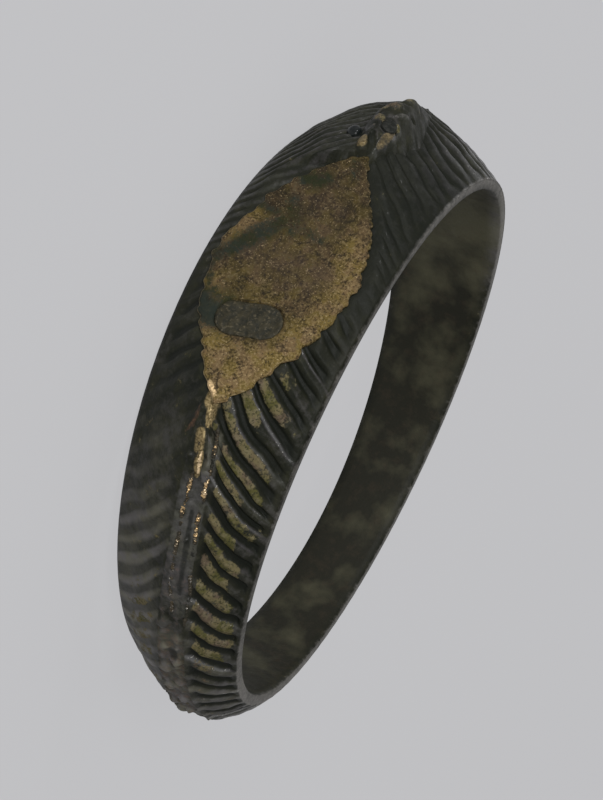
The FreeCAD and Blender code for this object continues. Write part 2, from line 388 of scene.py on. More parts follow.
class Paint:
    # One material under way, with its colours by name. Its coat is the colour so far.
    def __init__(self, name, colours):
        self.material = bpy.data.materials.new(name)
        self.material.use_nodes = True
        self.tree = self.material.node_tree
        self.tree.nodes.clear()
        self.colours = colours

    def node(self, kind, settings, inputs):
        node = self.tree.nodes.new(kind)
        for setting, value in settings.items():
            setattr(node, setting, value)
        for key, value in inputs.items():
            value = value.socket if isinstance(value, Number) else value
            if isinstance(value, bpy.types.NodeSocket):
                self.tree.links.new(value, node.inputs[key])
            else:
                node.inputs[key].default_value = value
        return node

    def maths(self, operation, first, second):
        node = self.node("ShaderNodeMath", {"operation": operation}, {0: first, 1: second})
        return Number(self, node.outputs[0])

    def noise(self, size, detail=3.0, rough=0.55):
        # size in millimetres from blot to blot
        where = self.node("ShaderNodeTexCoord", {}, {}).outputs["Object"]
        inputs = {"Vector": where, "Scale": 1 / (size * metre), "Detail": detail, "Roughness": rough}
        return Number(self, self.node("ShaderNodeTexNoise", {}, inputs).outputs[0])

    def mark(self, name):
        return Number(self, self.node("ShaderNodeAttribute", {"attribute_name": name}, {}).outputs["Fac"])

    def mix(self, factor, first, second):
        # a string is the name of one of the material's colours
        first, second = (self.colours[value] + (1,) if isinstance(value, str) else value
                         for value in (first, second))
        return self.node("ShaderNodeMix", {"data_type": "RGBA"}, {0: factor, 6: first, 7: second}).outputs[2]

    def layer(self, factor, colour):
        # lays a colour over the coat
        self.coat = self.mix(factor, self.coat, colour)

    def bump(self, height, depth):
        # depth in millimetres for a height of 1
        inputs = {"Height": height, "Distance": depth * metre, "Strength": 1.0}
        return self.node("ShaderNodeBump", {}, inputs).outputs[0]

    def finish(self, **sockets):
        names = {"rough": "Roughness", "metal": "Metallic", "normal": "Normal", "coat": "Coat Weight",
                 "coatRough": "Coat Roughness", "specular": "Specular IOR Level"}
        inputs = {names[key]: value for key, value in sockets.items()}
        shader = self.node("ShaderNodeBsdfPrincipled", {}, {"Base Color": self.coat, **inputs})
        self.node("ShaderNodeOutputMaterial", {}, {"Surface": shader.outputs[0]})
        return self.material


# turned clockwise in the picture; the shifts slide the camera sideways in millimetres
camera = dict(azimuth=30.67, elevation=17.13, roll=112.48, distance=150, shiftRight=0.585, shiftUp=-0.701,
              focalPixels=4449.8, imageHeight=800, sensor=36, near=0.01, far=10)


def levelWays(back):
    # the ways to the right and up, seen by someone who looks against a given way
    right = np.cross([0, 0, 1], back)
    right = right / np.linalg.norm(right)
    return right, np.cross(back, right)


def standAt(name, data, right, up, back, middle):
    # puts a camera or lamp at a point in metres, turned by its three ways
    thing = addObject(name, data)
    rows = [[right[row], up[row], back[row], middle[row]] for row in range(3)]
    thing.matrix_world = Matrix(rows + [[0, 0, 0, 1]])
    return thing


def makeCamera():
    # The camera looks from its distance at the bore's middle, rolled about that line. The image is
    # 603 x 800, and its height is the sensor's size.
    azimuth, elevation, roll = (math.radians(camera[key]) for key in ("azimuth", "elevation", "roll"))
    back = np.array([math.sin(azimuth) * math.cos(elevation), -math.cos(azimuth) * math.cos(elevation),
                     math.sin(elevation)])
    level, rise = levelWays(back)
    right = level * math.cos(roll) + rise * math.sin(roll)
    up = rise * math.cos(roll) - level * math.sin(roll)
    middle = back * camera["distance"] - right * camera["shiftRight"] - up * camera["shiftUp"]
    data = bpy.data.cameras.new("camera")
    data.sensor_width = camera["sensor"]
    data.lens = camera["focalPixels"] * data.sensor_width / camera["imageHeight"]
    data.clip_start = camera["near"]
    data.clip_end = camera["far"]
    bpy.context.scene.camera = standAt("camera", data, right, up, back, middle * metre)


makeCamera()
print("camera set")

# Marks are numbers on a mesh, mostly from 0 to 1, which say where a finish changes.
hoopMarks = ("groove", "sheen", "dust", "crust", "rust", "rim", "inner", "gold")
fieldMarks = ("stain", "bright", "dull", "edge", "glow")

# Colours of the patina: the near-white shine is a painted glint, the palest of the three greys a painted
# highlight, the brightest gold a painted golden glint, and the pink and olive film colours a dusty film and
# painted reflection.
patinaColours = dict(
    deep=(0.0095, 0.0110, 0.0058), olive=(0.0185, 0.0190, 0.0115), moss=(0.036, 0.036, 0.016),
    groove=(0.0055, 0.0072, 0.0040), shine=(0.62, 0.60, 0.55),
    violetGrey=(0.078, 0.070, 0.074), grey=(0.074, 0.076, 0.066), paintedHighlight=(0.165, 0.165, 0.162),
    pinkDustAndReflection=(0.186, 0.176, 0.170), oliveDustAndReflection=(0.182, 0.174, 0.132),
    oliveEarth=(0.092, 0.085, 0.026), tanEarth=(0.155, 0.128, 0.062), pinkEarth=(0.120, 0.088, 0.058),
    paleEarth=(0.200, 0.172, 0.098), darkEarth=(0.030, 0.031, 0.013),
    darkRust=(0.050, 0.030, 0.020), paleRust=(0.135, 0.075, 0.042),
    darkRim=(0.105, 0.098, 0.088), paleRim=(0.27, 0.255, 0.23),
    wall=(0.0185, 0.0180, 0.0112), paleWall=(0.092, 0.088, 0.053), rustyWall=(0.066, 0.048, 0.030),
    darkGold=(0.122, 0.090, 0.038), gold=(0.35, 0.265, 0.128), paintedGoldGlint=(0.85, 0.64, 0.38))


def darkPatina():
    # nearly black olive patina; violet grey, then light grey, where the sheen mark paints sheen and
    # highlight over wear from rubbing, with few painted white glints on the crests; a dusty film and
    # painted reflection on the lower flank; tan, olive and pinkish earth on the bands, rusty blots,
    # painted golden glints on the ridge's gold, pale bare metal along the rims
    paint = Paint("darkPatina", patinaColours)
    coarse = paint.noise(1.6, 4)
    patches = paint.noise(0.9, 2)
    fine = paint.noise(0.24, 4, 0.65)
    grit = paint.noise(0.08, 3, 0.6)
    blots = paint.noise(0.5, 6, 0.72)
    points = paint.noise(0.07, 0, 0.5)
    groove, sheen, dust, crust, rust, rim, inner, gold = (paint.mark(name) for name in hoopMarks)
    paint.coat = paint.mix(coarse.over(0.38, 0.62), "deep", "olive")
    paint.layer(blots.over(0.48, 0.7) * 0.6, "moss")
    # painted sheen and highlight over wear from rubbing: violet grey where the sheen mark is high, light
    # grey, a painted highlight, where it is highest
    wearAndSheen = (sheen + fine.swing(1.1) + blots.swing(0.5)).over(0.25, 1.0)
    grey = paint.mix(coarse.over(0.45, 0.6), "violetGrey", "grey")
    paint.layer(wearAndSheen * 0.8, paint.mix(sheen.over(0.6, 0.95) * 0.8, grey, "paintedHighlight"))
    # a pale dusty film that is also painted reflection, mostly on the lower flank and the lumps
    film = (dust + fine.swing(0.6) + coarse.swing(0.5) - blots.swing(0.5)).over(0.12, 1.0)
    paint.layer(film * 0.9, paint.mix(patches.over(0.42, 0.58), "pinkDustAndReflection", "oliveDustAndReflection"))
    earth = (crust + blots.swing(2.3) + fine.swing(1.0) + grit.swing(0.5)).over(0.40, 0.66)
    tan = paint.mix(patches.over(0.42, 0.5), "oliveEarth", "tanEarth")
    tan = paint.mix(patches.over(0.56, 0.62), tan, "pinkEarth")
    tan = paint.mix(fine.over(0.5, 0.62) * 0.6, tan, "paleEarth")
    paint.layer(earth, paint.mix(grit.over(0.48, 0.38) * 0.8, tan, "darkEarth"))
    rusty = (rust + fine.swing(1.3)).over(0.45, 0.85)
    paint.layer(rusty * 0.75, paint.mix(grit.over(0.4, 0.6), "darkRust", "paleRust"))
    bare = (rim + fine.swing(1.0)).over(0.4, 0.95)
    paint.layer(bare, paint.mix(grit.over(0.3, 0.7), "darkRim", "paleRim"))
    wall = paint.mix((coarse + dust * 0.3 - 0.04).over(0.36, 0.68), "wall", "paleWall")
    paint.layer(inner, paint.mix(blots.over(0.5, 0.7) * 0.3, wall, "rustyWall"))
    # painted golden glints: the brightest gold where the gold mark is highest, along the wedge's edge and in
    # specks on the stem
    stem = (gold + fine.swing(0.9)).over(0.35, 0.75)
    golden = paint.mix(grit.over(0.38, 0.6), "darkGold", "gold")
    paint.layer(stem, paint.mix((gold + grit.swing(1.2)).over(0.95, 1.25), golden, "paintedGoldGlint"))
    dark = groove.over(0.4, 0.95) * (1 - inner) * (1 - bare) * (1 - earth * 0.7) * 0.85
    paint.layer(dark, "groove")
    # painted glints: near-white points on the crests where the sheen mark is high
    shining = points.over(0.70, 0.74) * (sheen + fine.swing(0.6) + bare * 0.3).over(0.65, 0.95)
    paint.layer(shining * 0.9, "shine")
    rough = (0.40 + fine * 0.3 + earth * 0.3 - wearAndSheen * 0.16 - stem * 0.12 - shining * 0.2).over(0, 1)
    height = fine * 0.5 + grit * 0.45 + earth * 0.35 + shining * 0.4
    return paint.finish(rough=rough, metal=bare * 0.3 + stem * 0.5 + shining * 0.3, specular=0.2,
                        coat=wearAndSheen * 0.4 + bare * 0.1, coatRough=0.15, normal=paint.bump(height, 0.024))


alloyColours = dict(
    darkYellow=(0.032, 0.024, 0.0075), yellow=(0.185, 0.130, 0.036),
    darkPink=(0.038, 0.026, 0.012), pink=(0.200, 0.132, 0.060),
    darkGrain=(0.105, 0.078, 0.036), paleGrain=(0.36, 0.27, 0.13), pit=(0.020, 0.015, 0.008),
    dull=(0.052, 0.036, 0.028), oliveDirt=(0.015, 0.022, 0.009), greenDirt=(0.013, 0.024, 0.020),
    edge=(0.34, 0.27, 0.155), glow=(0.86, 0.62, 0.33), glint=(0.58, 0.44, 0.25))


def bareAlloy():
    # pitted golden alloy: yellow, pinkish and brown grains, dark dirt in between, green-black and
    # brownish stains; painted golden glints in fine specks, and a painted highlight at the tip (glow)
    paint = Paint("bareAlloy", alloyColours)
    cloud = paint.noise(1.0, 4, 0.6)
    mottle = paint.noise(0.36, 5, 0.7)
    grain = paint.noise(0.085, 2, 0.7)
    speck = paint.noise(0.05, 0, 0.5)
    hue = paint.noise(0.6, 2)
    stain, bright, dull, edge, glow = (paint.mark(name) for name in fieldMarks)
    lit = (bright - 0.1 + cloud.swing(1.1) + mottle.swing(1.6)).over(0.0, 1.0)
    yellow = paint.mix(lit, "darkYellow", "yellow")
    paint.coat = paint.mix(hue.over(0.44, 0.58), yellow, paint.mix(lit, "darkPink", "pink"))
    paint.layer(grain.over(0.53, 0.68) * 0.8, paint.mix(lit, "darkGrain", "paleGrain"))
    paint.layer((grain * 0.6 + mottle * 0.4).over(0.49, 0.38) * 0.85, "pit")
    paint.layer(dull * 0.35, "dull")
    dirt = (stain * 0.9 + mottle.swing(2.6) + cloud.swing(0.8) + grain.swing(1.6)).over(0.3, 0.9)
    paint.layer(dirt * 0.88, paint.mix(hue.over(0.42, 0.6), "oliveDirt", "greenDirt"))
    paint.layer((edge + grain.swing(1.2)).over(0.5, 0.9) * 0.6, "edge")
    hot = (glow + grain.swing(1.4)).over(0.4, 0.9)
    paint.layer(hot, "glow")
    glint = speck.over(0.70, 0.78) * (1 - dirt)
    paint.layer(glint * 0.3, "glint")
    metal = (lit * 0.2 + glint * 0.3 + hot * 0.5).over(0, 1)
    rough = (0.62 - glint * 0.3 - hot * 0.25 + dirt * 0.12).over(0, 1)
    return paint.finish(rough=rough, metal=metal, specular=0.16,
                        normal=paint.bump(mottle * 0.4 + grain * 0.9, 0.04))


fillColours = dict(dark=(0.0115, 0.0118, 0.0055), brown=(0.043, 0.036, 0.017), speck=(0.14, 0.115, 0.068))


def darkFill():
    # dull dark mineral with brownish clouds and pale specks
    paint = Paint("darkFill", fillColours)
    fine = paint.noise(0.25, 4, 0.7)
    speck = paint.noise(0.09, 2, 0.6)
    paint.coat = paint.mix(fine.over(0.38, 0.66), "dark", "brown")
    paint.layer(speck.over(0.56, 0.7) * 0.6, "speck")
    return paint.finish(rough=0.42 + fine * 0.3, metal=0.0, specular=0.3,
                        normal=paint.bump(fine + speck * 0.5, 0.03))


wireColours = dict(dark=(0.020, 0.020, 0.014), worn=(0.115, 0.080, 0.038), gold=(0.70, 0.47, 0.22),
                   paleGold=(0.85, 0.66, 0.42), silver=(0.38, 0.36, 0.32))


def wornWire():
    # dark metal like the patina round it; grains shine golden where it is worn, and silvery
    # further down
    paint = Paint("wornWire", wireColours)
    fine = paint.noise(0.4, 3, 0.6)
    grain = paint.noise(0.09, 1, 0.4)
    worn, silver = (paint.mark(name) for name in ("worn", "silver"))
    shining = (worn * 0.6 + grain.swing(1.2)).over(0.38, 0.52)
    paint.coat = paint.mix(worn * 0.7, "dark", "worn")
    paint.layer(shining, paint.mix(silver, paint.mix(fine.over(0.45, 0.6), "gold", "paleGold"), "silver"))
    return paint.finish(rough=0.55 - shining * 0.3, metal=shining * 0.85, specular=0.3,
                        normal=paint.bump(grain, 0.02))


glassLook = dict(
    eyeGlass=dict(dark=(0.006, 0.008, 0.008), pale=(0.020, 0.023, 0.021), grain=0.2, paleFrom=0.4,
                  rough=0.14, roughSpread=0.2, specular=0.25, depth=0.008),
    wornGlass=dict(dark=(0.015, 0.0165, 0.0135), pale=(0.042, 0.042, 0.036), grain=0.14, paleFrom=0.45,
                   rough=0.4, roughSpread=0.3, specular=0.15, depth=0.02))


def beadGlass(name):
    # near-black glass with paler wear; the worn one is dull and scratched
    look = glassLook[name]
    paint = Paint(name, look)
    fine = paint.noise(look["grain"], 3)
    paint.coat = paint.mix(fine.over(look["paleFrom"], 0.7), "dark", "pale")
    return paint.finish(rough=look["rough"] + fine * look["roughSpread"], metal=0.0,
                        specular=look["specular"], normal=paint.bump(fine, look["depth"]))


materials = dict(patina=darkPatina(), alloy=bareAlloy(), fill=darkFill(), wire=wornWire(),
                 left=beadGlass("eyeGlass"), right=beadGlass("wornGlass"))
print("materials", len(materials))

hoopLook = dict(
    fineTurns=(-95, 118), fineSteps=22, plainSteps=6, flankRows=26, ridgeRows=19, boreRows=7,
    rimRound=0.07, fieldGap=0.17, millimetresPerDegree=0.19, seed=35,
    grainTurns=(38, 44, 110, 125), grains=((0.04, 0.34, 36), (0.016, 0.2, 31)), upperDrop=0.045,
    lumpTurns=(74, 112), lumpStep=3.4, lumpOff=0.22, lumpLong=0.32, lumpHigh=0.20)

# Worn figures on the ridge as strokes, and painted golden glints along them (shine): turn and z of
# both ends, half width, how much they narrow.
ridgeFigures = dict(
    stem=((31.5, -0.12, 34.2, -0.04, 0.24, 0.0), (34, 0.0, 37.8, 0.14, 0.13, 0.3)),
    wedge=((39.2, 0.0, 42.0, 0.1, 0.19, 0.1), (41.5, 0.14, 46.4, 0.24, 0.13, 0.4)),
    facet=((38.8, 0.46, 43.0, 0.56, 0.19, 0.5), (42.4, 0.56, 46.6, 0.54, 0.2, 0.6)),
    streak=((35.4, -0.34, 38.2, -0.36, 0.11, 0.4), (38.2, -0.4, 40.2, -0.54, 0.07, 0.4)),
    shine=((42.2, 0.24, 46.0, 0.31, 0.06, 0.3), (33.2, -0.2, 34.6, 0.06, 0.06, 0.2)),
    hollow=((84.8, 0.3, 85.8, 0.34, 0.2, 0.0), (53, 0.33, 70, 0.42, 0.12, 0.3)))
figureHeights = dict(wedge=0.09, facet=0.07, streak=0.06)


def onRidge(turn, z, name):
    # how much a place on the ridge lies on one of its worn figures, from 0 to 1
    scale = hoopLook["millimetresPerDegree"]
    along = wrapTurn(turn) * scale
    return most(*(strokeOn(along, z, (start * scale, startZ), (end * scale, endZ), half, narrow)
                  for start, startZ, end, endZ, half, narrow in ridgeFigures[name]))


def ridgeRelief(turn, z, points):
    # the ridge strip: small grains, raised figures past the field's tip, and low lozenge lumps in
    # two uneven rows past the beaded lines; height = lumpHigh * (1.15 - |x| - |y|) ^ 0.6
    onLower = within(wrapTurn(turn), *hoopLook["grainTurns"])
    relief = onLower * bumps(points, *hoopLook["grains"]) + bumps(points, (0.014, 0.7, 32))
    relief = relief - hoopLook["upperDrop"] * (1 - onLower)
    for name, height in figureHeights.items():
        relief = relief + height * onRidge(turn, z, name)
    random = np.random.default_rng(hoopLook["seed"])
    radius = bore + ridgeHeight(turn)
    uneven = bumps(points, (0.012, 0.25, 33))
    for number, lump in enumerate(np.arange(*hoopLook["lumpTurns"], hoopLook["lumpStep"])):
        side = hoopLook["lumpOff"] * (-1) ** number + random.uniform(-0.06, 0.06)
        longer = hoopLook["lumpLong"] * random.uniform(0.8, 1.25)
        across = (z - ridgeZ(turn) - side) / (longer * random.uniform(0.75, 0.95))
        away = np.radians(wrapTurn(turn - lump - random.uniform(-0.6, 0.6))) * radius / longer
        high = hoopLook["lumpHigh"] * random.uniform(0.6, 1.0)
        height = high * np.clip(1.15 - np.abs(away + 0.4 * across) - np.abs(across), 0, 1) ** 0.6
        relief = np.maximum(relief, height + uneven)
    return relief


def allMarks(shape, **marks):
    # every mark of the patina on a grid, 0 where none is given
    return {name: marks.get(name, 0.0) + 0 * shape for name in hoopMarks}


# How much earth lies on the bands, how dusty they are and how much reflection is painted on
# them, and how bare the rim is, by turn.
flankLook = dict(
    reach=(0.55, 0.88), amount=(0.68, 1.0), shine=(0.2, 1.0), seed=16,
    earth={1: (0, (1, 20, 30), (-0.7, 85, 93), (-0.3, 112, 130)),
           -1: (0, (0.35, 66, 80), (-0.35, 108, 120), (0.12, 18, 30))},
    dust={1: (0, (0.26, 14, 40), (0.42, 84, 96), (-0.68, 125, 150)), -1: (0, (0.14, 10, 34))},
    rim={1: (0.85, (-0.16, -25, 0), (0.15, 70, 95)), -1: (0.6,)})


def flankMarks(turn, share, side, groove, across, fine, own):
    # where the finish changes on a flank: earth lies on the middle of the bands past the field, the
    # edge that faces the head gets painted sheen and highlight over wear from rubbing, the rim is bare,
    # and the lower flank is paler with a dusty film and painted reflection
    turn = wrapTurn(turn)
    random = np.random.default_rng(flankLook["seed"])
    reach, amount, shine = (random.uniform(*flankLook[name], ring["ribs"])[own]
                            for name in ("reach", "amount", "shine"))
    level = 1 - np.clip(groove * 1.5, 0, 1)
    narrow = 0.16 * (1 - ease(turn, 40, 64))
    onBand = within(across, narrow - 0.85, narrow - 0.4, 0.5 - narrow, 0.98 - narrow)
    length = within(share, 0.03, 0.12 + 0.12 * ease(turn, 70, 90), reach - 0.1, reach + 0.06)
    earth, dust, rim = (steps(turn, *flankLook[name][side]) for name in ("earth", "dust", "rim"))
    dark = groove * np.clip(ribDepth(turn, share, side) / rib["depth"] * 1.6, 0, 1)
    shade = 0.78 * within(turn, -70, -30, 6, 20) * (side > 0)
    rust = 0.12 * within(turn, 80, 100, 115, 130)
    if side > 0:
        pastTip = ease(turn, 20, 30)
        earth = earth * amount
        # painted highlight: sheen on the band's shoulder that faces the head, over wear from rubbing
        edge = shine * bell(across, -0.48, 0.2) * (1 - 0.5 * ease(share, 0.75, 1)) * ease(turn, 12, 26)
        edge = edge + 0.5 * shine * (1 - ease(share, 0.1, 0.35)) * level * pastTip
        outer = 0.45 * ease(share, reach - 0.05, reach + 0.1) * pastTip * level
        sheen = np.maximum(1.1 * edge, outer) + 0.35 * ease(turn, 90, 104) * level
        sheen = sheen * (1 - 0.3 * fine) + 0.3 * fine * level + 0.15 * fine * ease(turn, -30, -60)
        sheen = sheen + 0.4 * fine * level * ease(share, 0.2, 0.6) * ease(turn, -10, -40)
        dust = dust * level + 0.2 * (1 - ease(share, 0, 0.14)) * within(turn, 60, 80, 125, 150)
    else:
        sheen = 0.5 * fine * level + 0.25 * level * ease(np.abs(turn), 110, 140)
        # the lower flank made paler: a dusty film and painted reflection
        dust = dust + within(turn, 34, 78, 125, 150) * (0.2 + 0.8 * level)
        dust = dust * (0.5 + 0.5 * ease(share, 0, 0.25))
        rust = rust + 0.75 * bell(turn, 38, 2.6) * bell(share, 0.04, 0.06)
    return allMarks(turn, groove=np.maximum(dark, shade), sheen=sheen, dust=dust,
                    crust=onBand * length * earth, rust=rust, rim=ease(share, 0.945, 0.99) * rim)


def ridgeMarks(turn, z, relief):
    # a hollow and rusty blots between the beaded lines and past them, lumps further on paler with a
    # dusty film and painted reflection
    hollow = onRidge(turn, z, "hollow")
    turn = wrapTurn(turn)
    lower = ease(turn, 72, 84)
    between = within(turn, 44, 50, 70, 78)
    inwards = 1 - np.abs(z - ridgeZ(turn)) / ridgeHalf(turn)
    lump = ease(relief / hoopLook["lumpHigh"], 0.05, 0.6)
    dust = np.maximum(0.34 * between, (0.56 + 0.44 * lump) * lower * (1 - ease(turn, 118, 140)))
    return allMarks(turn, groove=np.maximum(0.3 + 0.2 * lower * (1 - lump), 0.9 * hollow),
                    sheen=0.25 + 0.32 * between, dust=dust * (0.5 + 0.5 * ease(inwards, 0, 0.45)),
                    crust=0.2 * lower, rust=0.4 * within(turn, 50, 62, 104, 120) + 0.15 * lower)


def addFigures(block):
    # the golden stem that runs out of the field's tip and the wedge after it, with painted golden
    # glints along the shine strokes, a rusty streak and a violet-grey facet beside them, on the ridge
    # and over its edges
    stem, wedge, facet, streak, shine = (onRidge(block["turn"], block["z"], name)
                                         for name in ("stem", "wedge", "facet", "streak", "shine"))
    block["gold"] = np.maximum(0.85 * stem, 0.75 * wedge + 0.6 * shine)
    block["dust"] = np.maximum(block["dust"], 0.55 * facet)
    block["rust"] = np.maximum(block["rust"], 0.8 * streak)
    block["groove"] = block["groove"] * (1 - np.maximum(block["gold"], facet))
    block["crust"] = block["crust"] * (1 - facet)


def hoopRings():
    # Each ring is one section of the hoop: lower flank from rim to ridge, ridge, upper flank from
    # ridge to rim, upper rim, bore and lower rim. The columns between follow the rib lines.
    pitch = 360 / ring["ribs"]
    start, end = hoopLook["fineTurns"]
    foot = np.concatenate([np.arange(start, end, pitch / hoopLook["fineSteps"]),
                           np.arange(end, start + 360, pitch / hoopLook["plainSteps"])])[:, None]
    share = np.linspace(0, 1, hoopLook["flankRows"])[None]
    level = facetRadius - hoopLook["fieldGap"]
    flanks = {}
    rimEnds = {}
    for side in (-1, 1):
        turn, radius, z, *finish = castingAt(foot, share, side)
        block = dict(turn=turn, radius=underField(turn, radius, z, level), z=z,
                     **flankMarks(turn, share, side, *finish))
        addFigures(block)
        flanks[side] = {key: value[:, ::side] for key, value in block.items()}
        rimEnds[side] = turn[:, -1:]
    step = np.linspace(0, 1, hoopLook["ridgeRows"] + 2)[None, 1:-1]
    z = ridgeZ(foot) - ridgeHalf(foot) + 2 * ridgeHalf(foot) * step
    turn = foot + 0 * z
    radius = bore + ridgeHeight(turn)
    relief = ridgeRelief(turn, z, place(turn, radius, z))
    strip = dict(turn=turn, radius=underField(turn, radius + relief, z, level), z=z,
                 **ridgeMarks(turn, z, relief))
    addFigures(strip)
    return joinBlocks(flanks[-1], strip, flanks[1], insideOf(rimEnds))


def insideOf(rimEnds):
    # rim and bore: the rings go on from the upper rim's outer edge round to the lower one's
    rounding = hoopLook["rimRound"]
    wall = ring["rimWall"]
    rows = [(wall - rounding * 0.25, 0.75, 1.0), (wall - rounding, 1.0, 1.0), (wall * 0.4, 1.0, 0.9),
            (rounding, 1.0, 0.8), (rounding * 0.25, 0.75, 0.6)]  # height over the bore, lift, bareness

    def rimColumn(side, over, lift, bare):
        z = rimZ(rimEnds[side], bore + over) - rounding * (1 - lift)
        return rimEnds[side], bore + over + 0 * z, side * z, bare + 0 * z, 0 * z

    def boreColumn(step):
        turn = rimEnds[1] + wrapTurn(rimEnds[-1] - rimEnds[1]) * step
        z = rimZ(turn, bore) * (1 - 2 * step)
        return turn, bore + 0 * z, z, 0 * z, 1 + 0 * z

    columns = [rimColumn(1, *row) for row in rows]
    columns += [boreColumn(step) for step in np.linspace(0, 1, hoopLook["boreRows"] + 2)[1:-1]]
    columns += [rimColumn(-1, *row) for row in reversed(rows)]
    turn, radius, z, bare, inner = (np.hstack(parts) for parts in zip(*columns))
    near = wrapTurn(turn)
    patch = bell(near, 104, 9) + bell(near, -85, 25) - 0.3
    pale = steps(near, 0.75, (-0.1, -25, 0), (0.2, 70, 95))
    return dict(turn=turn, radius=radius, z=z, **allMarks(turn, dust=patch, rim=bare * pale, inner=inner))


def joinBlocks(*blocks):
    return {key: np.hstack([block[key] for block in blocks]) for key in blocks[0]}


def makeHoop():
    rings = hoopRings()
    points = place(rings["turn"], rings["radius"], rings["z"])
    marks = {key: rings[key] for key in hoopMarks}
    addPiece("hoop_skin", points, marks, materials["patina"], "dark_patina", "hoop", closed=True)


makeHoop()

# The field's borders as reach along it and z, from the head's end to the foot. Its spots are
# strokes: strength, reach and z of both ends, half width, narrowing and softness.
fieldLook = dict(
    steps=460, rows=80, thickness=0.16, rounding=0.05, jag=0.04, sagMost=0.05,
    scallop=0.07, scallopStep=0.88, relief=((0.010, 1.8, 42), (-0.006, 0.22, 43)),
    right=((-5.0, 0.34), (-4.3, 0.5), (-3.95, 0.66), (-3.0, 1.28), (-2.2, 1.76), (-1.3, 2.05), (0.0, 2.3),
           (1.2, 2.15), (2.0, 1.93), (2.7, 1.67), (3.3, 1.42), (4.0, 1.04), (4.7, 0.76), (5.25, 0.4),
           (5.5, 0.12)),
    left=((-5.0, -0.1), (-4.3, -0.2), (-3.9, -0.65), (-3.15, -1.3), (-2.1, -1.9), (-1.3, -2.15),
          (-0.35, -2.45), (0.5, -2.62), (1.0, -2.42), (1.7, -2.3), (2.45, -2.12), (3.25, -1.62),
          (3.85, -1.2), (4.65, -0.74), (5.35, -0.1), (5.5, 0.02)),
    bright=((0.45, (-1.2, -2.0), (0.2, -2.5), 0.25), (0.5, (1.5, -2.3), (2.1, -1.6), 0.3)),
    dull=((1, (0.1, -1.4), (0.2, 0.9), 0.7, 0.2, 0.7), (0.6, (-3.4, -0.6), (-1.5, 0.3), 0.8, 0.2, 0.7)),
    glow=((0.8, (4.95, -0.4), (5.25, -0.1), 0.13),))

# Stains on the field: strength, reach and z of both ends, half width.
stains = ((0.9, (-3.0, -1.1), (-3.25, -0.5), 0.336), (0.7, (-2.15, -1.1), (-1.05, -0.55), 0.336),
          (1.0, (0.7, -2.4), (-1.2, -1.05), 0.36), (0.8, (-1.65, -2.0), (-1.5, -1.4), 0.24),
          (0.8, (1.0, -2.4), (1.8, -2.1), 0.168), (1.2, (2.3, -2.15), (2.6, -1.2), 0.672),
          (0.6, (-1.26, -0.3), (-1.06, 0.44), 0.192), (0.6, (-4.2, 0.1), (-3.7, 0.3), 0.216))


def fieldBorder(reach, name):
    # smooth line through the outline's points, with a fine jag; on the right it has scallops at
    # the ribs' ends
    points = np.array(fieldLook[name])
    line = soften(np.interp(reach, points[:, 0], points[:, 1]), 6)
    side = 1 if name == "right" else -1
    where = np.stack([reach, 0 * reach + side, 0 * reach], -1)
    if side > 0:
        teeth = np.abs(np.sin(reach * np.pi / fieldLook["scallopStep"] + 0.6))
        teeth = teeth * within(reach, 0.6, 2.4, 4.6, 5.3)
        line = line + fieldLook["scallop"] * (teeth - 0.6)
    return line + bumps(where, (fieldLook["jag"], 0.3, 44 + side))


def castingHeight(reach, z):
    # height of the casting over the field's plane
    angle = np.degrees(np.arctan2(reach, facetRadius))
    turn = ring["facetTurn"] + angle
    height = 0 * reach
    for side in (-1, 1):
        foot, share = footUnder(turn, z, side)
        here = castingAt(foot, share, side)[1] * np.cos(np.radians(angle)) - facetRadius
        height = np.where(side * (z - ridgeZ(turn)) >= 0, here, height)
    return height


# the bar in the field, slanted in degrees and inset from the facing
fillLook = dict(
    width=1.3, length=0.95, reach=2.28, rise=0.12, slant=14, sunk=0.05, depth=0.15, inset=0.01,
    rows=90, columns=40, relief=((0.012, 0.7, 51), (0.006, 0.25, 52)))
slantSine, slantCosine = (way(math.radians(fillLook["slant"])) for way in (math.sin, math.cos))


def inFill(reach, z):
    # distance outside the round-ended bar's outline, less than 0 inside it
    offReach, offZ = reach - fillLook["reach"], z - fillLook["rise"]
    run = np.clip(offReach * slantSine - offZ * slantCosine, 0, fillLook["length"])
    return np.hypot(offReach - run * slantSine, offZ + run * slantCosine) - fillLook["width"] / 2


def onField(reach, z, height):
    # point over the field, reach along it from its middle and height over its plane
    angle = math.radians(ring["facetTurn"])
    distance = facetRadius + height
    return np.stack([reach * math.cos(angle) + distance * math.sin(angle),
                     reach * math.sin(angle) - distance * math.cos(angle), z + 0 * reach], -1)


